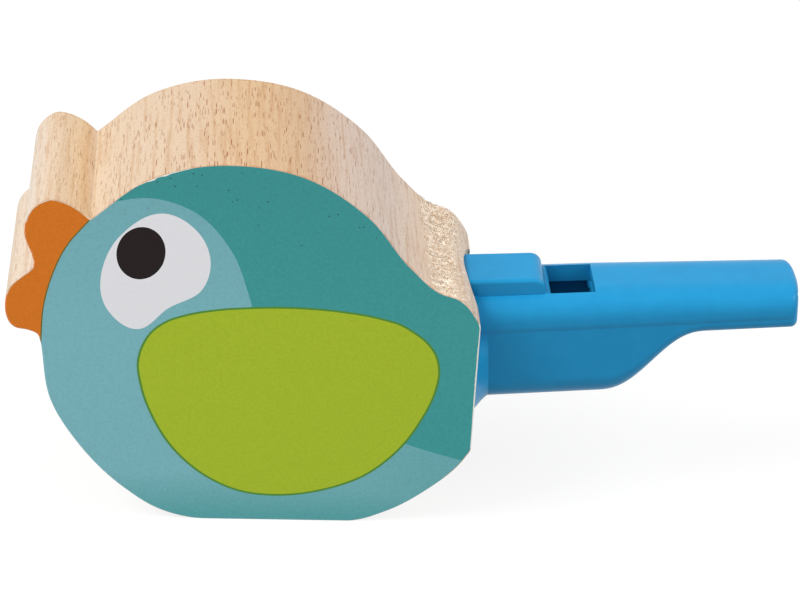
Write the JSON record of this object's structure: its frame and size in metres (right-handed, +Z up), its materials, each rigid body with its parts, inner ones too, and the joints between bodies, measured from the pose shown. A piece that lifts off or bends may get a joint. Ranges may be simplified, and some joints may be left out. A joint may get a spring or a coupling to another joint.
{
  "type": "bird whistle",
  "caption": "Toy whistle: a flat bird cut from beech with a printed eye, wing and beak, and a moulded plastic whistle plugged into its tail.",
  "frame": {"origin": "centre of the footprint of the whole object's box, on the surface that the bird stands on", "axes": "+X from the beak towards the mouthpiece, +Y from the printed front face through the wood to the back face, +Z up"},
  "size_m": [0.1247, 0.029, 0.0645],
  "materials": {
    "printed_beech": "satin, with matt print on both faces",
    "blue_plastic": "semi-gloss"
  },
  "bodies": {
    "root": {"bird_body": "printed_beech", "whistle": "blue_plastic"}
  },
  "joints": []
}
